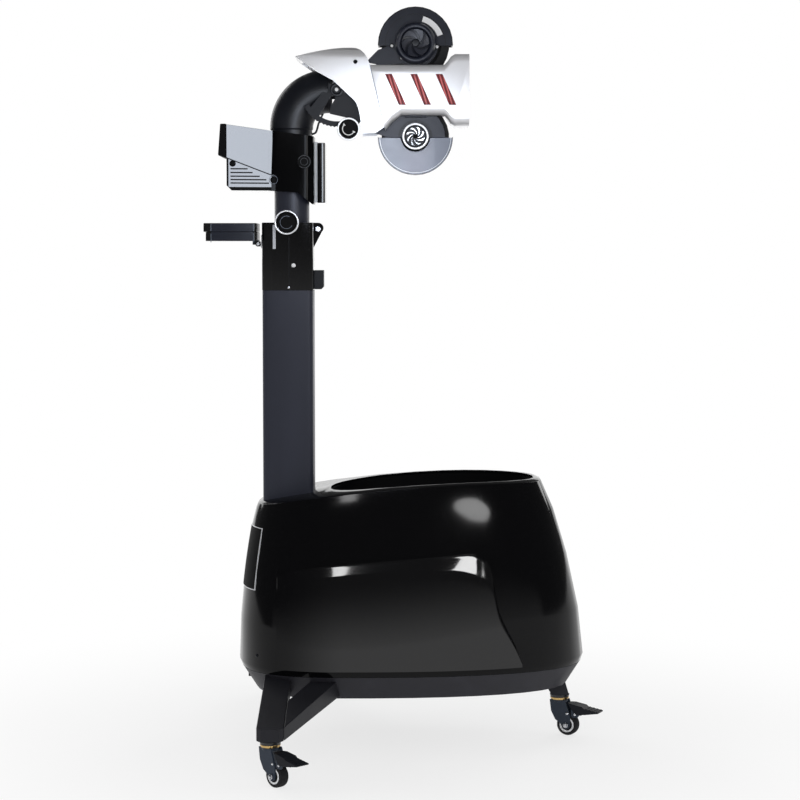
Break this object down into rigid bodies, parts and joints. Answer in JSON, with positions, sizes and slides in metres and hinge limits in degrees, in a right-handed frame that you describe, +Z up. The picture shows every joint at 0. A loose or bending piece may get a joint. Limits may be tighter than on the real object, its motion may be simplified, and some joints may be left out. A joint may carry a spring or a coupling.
{
  "type": "table tennis robot",
  "caption": "Floor-standing ball robot: hopper body on casters, square column, height-adjustable neck with control box, and a swinging, tilting head that throws the ball between friction wheels.",
  "frame": {"origin": "on the floor under the middle of the part's bounding box", "axes": "+X the throwing direction, +Y the far side, away from the knobs, +Z up"},
  "size_m": [0.6342, 0.7894, 1.1593],
  "materials": {
    "gloss_black": "polished black moulded plastic",
    "satin_black": "satin black moulded plastic",
    "matte_black": "matte black moulded plastic",
    "column_slate": "matte dark slate powder coat",
    "frame_grey": "matte dark grey powder coat",
    "skirt_grey": "matte dark grey moulded plastic",
    "hood_silver": "silver metallic lacquer on plastic",
    "shell_silver": "pale silver lacquer on plastic",
    "slot_red": "red plastic with dark slanting stripes",
    "guard_frosted": "frosted translucent plastic",
    "wheel_rubber": "matte black rubber",
    "tyre": "black polyurethane tread with a white ring on the hub",
    "steel": "bright plated steel",
    "zinc_gold": "yellow passivated race under a dark plate",
    "fork_navy": "dark blue-grey painted pressed steel",
    "tray_navy": "dark blue-black satin plastic",
    "strip_pale": "pale glossy light strip",
    "feed_orange": "orange moulded plastic"
  },
  "bodies": {
    "base": {"hopper_shell": "gloss_black", "hopper_bowl": "satin_black", "feed_motor": "steel", "ball_duct": "matte_black", "near_side_panel": "gloss_black", "far_side_panel": "gloss_black", "skirt_pan": "skirt_grey", "power_inlet": "satin_black", "near_leg_beam": "frame_grey", "near_leg_brace": "frame_grey", "far_leg_beam": "frame_grey", "far_leg_brace": "frame_grey", "nose_post": "frame_grey", "near_caster_plate": "zinc_gold", "far_caster_plate": "zinc_gold", "nose_caster_plate": "zinc_gold", "column": "column_slate", "collar": "gloss_black", "lug_pin": "steel", "side_block": "matte_black", "tray_bracket": "steel"},
    "feed": {"feed_disc": "feed_orange"},
    "lock": {"lock_knob": "satin_black"},
    "tray": {"tray_lower": "tray_navy", "tray_upper": "tray_navy"},
    "neck": {"neck_tube": "column_slate", "control_housing": "gloss_black", "control_cover": "gloss_black", "control_panel": "satin_black", "light_strip": "strip_pale", "rear_plate": "gloss_black"},
    "dial": {"control_dial": "satin_black"},
    "elbow": {"elbow": "satin_black", "tilt_bracket": "matte_black", "tilt_pin": "steel", "tilt_cable": "matte_black"},
    "head": {"head_frame": "matte_black", "near_head_shell": "shell_silver", "far_head_shell": "shell_silver", "near_slot_insert": "slot_red", "far_slot_insert": "slot_red", "hood": "hood_silver", "upper_motor": "satin_black", "lower_motor": "satin_black", "upper_guard": "satin_black", "upper_bracket": "matte_black", "lower_guard": "guard_frosted", "lower_bracket": "matte_black"},
    "tilt_drive": {"tilt_knob": "satin_black"},
    "top_spin": {"upper_wheel": "wheel_rubber"},
    "low_spin": {"lower_wheel": "wheel_rubber"},
    "near_swivel": {"near_caster_fork": "fork_navy"},
    "far_swivel": {"far_caster_fork": "fork_navy"},
    "nose_swivel": {"nose_caster_fork": "fork_navy"},
    "near_roll": {"near_caster_wheel": "tyre"},
    "far_roll": {"far_caster_wheel": "tyre"},
    "nose_roll": {"nose_caster_wheel": "tyre"},
    "near_brake": {"near_caster_pedal": "matte_black"},
    "far_brake": {"far_caster_pedal": "matte_black"},
    "nose_brake": {"nose_caster_pedal": "matte_black"}
  },
  "joints": [
    {"name": "neck_height", "type": "slide", "parent": "base", "child": "neck", "axis": [0, 0, 1], "range_m": [-0.02, 0.12]},
    {"name": "head_sweep", "type": "hinge", "parent": "neck", "child": "elbow", "pos_m": [-0.18029, 0, 0.93], "axis": [0, 0, 1], "range_deg": [-30, 30]},
    {"name": "head_tilt", "type": "hinge", "parent": "elbow", "child": "head", "pos_m": [-0.10779, 0, 1.028], "axis": [0, -1, 0], "range_deg": [-20, 20]},
    {"name": "tilt_knob_turn", "type": "hinge", "parent": "head", "child": "tilt_drive", "pos_m": [-0.08884, 0, 0.96603], "axis": [0, -1, 0], "range_deg": [-190, 190]},
    {"name": "lock_knob_turn", "type": "hinge", "parent": "base", "child": "lock", "pos_m": [-0.18579, 0, 0.8213], "axis": [0, -1, 0], "range_deg": [0, 270]},
    {"name": "dial_turn", "type": "hinge", "parent": "neck", "child": "dial", "pos_m": [-0.15879, 0, 0.916], "axis": [0, -1, 0], "range_deg": [0, 270]},
    {"name": "tray_fold", "type": "hinge", "parent": "base", "child": "tray", "pos_m": [-0.23314, 0, 0.78785], "axis": [0, -1, 0], "range_deg": [0, 90]},
    {"name": "upper_wheel_spin", "type": "hinge", "parent": "head", "child": "top_spin", "pos_m": [0.01521, 0, 1.1003], "axis": [0, 1, 0], "continuous": true},
    {"name": "lower_wheel_spin", "type": "hinge", "parent": "head", "child": "low_spin", "pos_m": [0.01521, 0, 0.9557], "axis": [0, -1, 0], "continuous": true},
    {"name": "feed_disc_spin", "type": "hinge", "parent": "base", "child": "feed", "pos_m": [-0.03029, 0, 0.215], "axis": [0, 0, 1], "continuous": true},
    {"name": "near_caster_swivel", "type": "hinge", "parent": "base", "child": "near_swivel", "pos_m": [-0.19779, -0.336, 0.055], "axis": [0, 0, 1], "continuous": true},
    {"name": "far_caster_swivel", "type": "hinge", "parent": "base", "child": "far_swivel", "pos_m": [-0.19779, 0.336, 0.055], "axis": [0, 0, 1], "continuous": true},
    {"name": "nose_caster_swivel", "type": "hinge", "parent": "base", "child": "nose_swivel", "pos_m": [0.24821, 0, 0.055], "axis": [0, 0, 1], "continuous": true},
    {"name": "near_caster_roll", "type": "hinge", "parent": "near_swivel", "child": "near_roll", "pos_m": [-0.18719, -0.34661, 0.0175], "axis": [0.7071, 0.7071, 0], "continuous": true},
    {"name": "far_caster_roll", "type": "hinge", "parent": "far_swivel", "child": "far_roll", "pos_m": [-0.18719, 0.34661, 0.0175], "axis": [-0.7071, 0.7071, 0], "continuous": true},
    {"name": "nose_caster_roll", "type": "hinge", "parent": "nose_swivel", "child": "nose_roll", "pos_m": [0.2618, -0.00634, 0.0175], "axis": [0.4226, 0.9063, 0], "continuous": true},
    {"name": "near_brake_press", "type": "hinge", "parent": "near_swivel", "child": "near_brake", "pos_m": [-0.1909, -0.34289, 0.0392], "axis": [0.7071, 0.7071, 0], "range_deg": [0, 9]},
    {"name": "far_brake_press", "type": "hinge", "parent": "far_swivel", "child": "far_brake", "pos_m": [-0.1909, 0.34289, 0.0392], "axis": [-0.7071, 0.7071, 0], "range_deg": [0, 9]},
    {"name": "nose_brake_press", "type": "hinge", "parent": "nose_swivel", "child": "nose_brake", "pos_m": [0.25704, -0.00412, 0.0392], "axis": [0.4226, 0.9063, 0], "range_deg": [0, 9]}
  ],
  "couplings": [
    {"joint": "tilt_knob_turn", "follows": "head_tilt", "ratio": 9.3548}
  ]
}
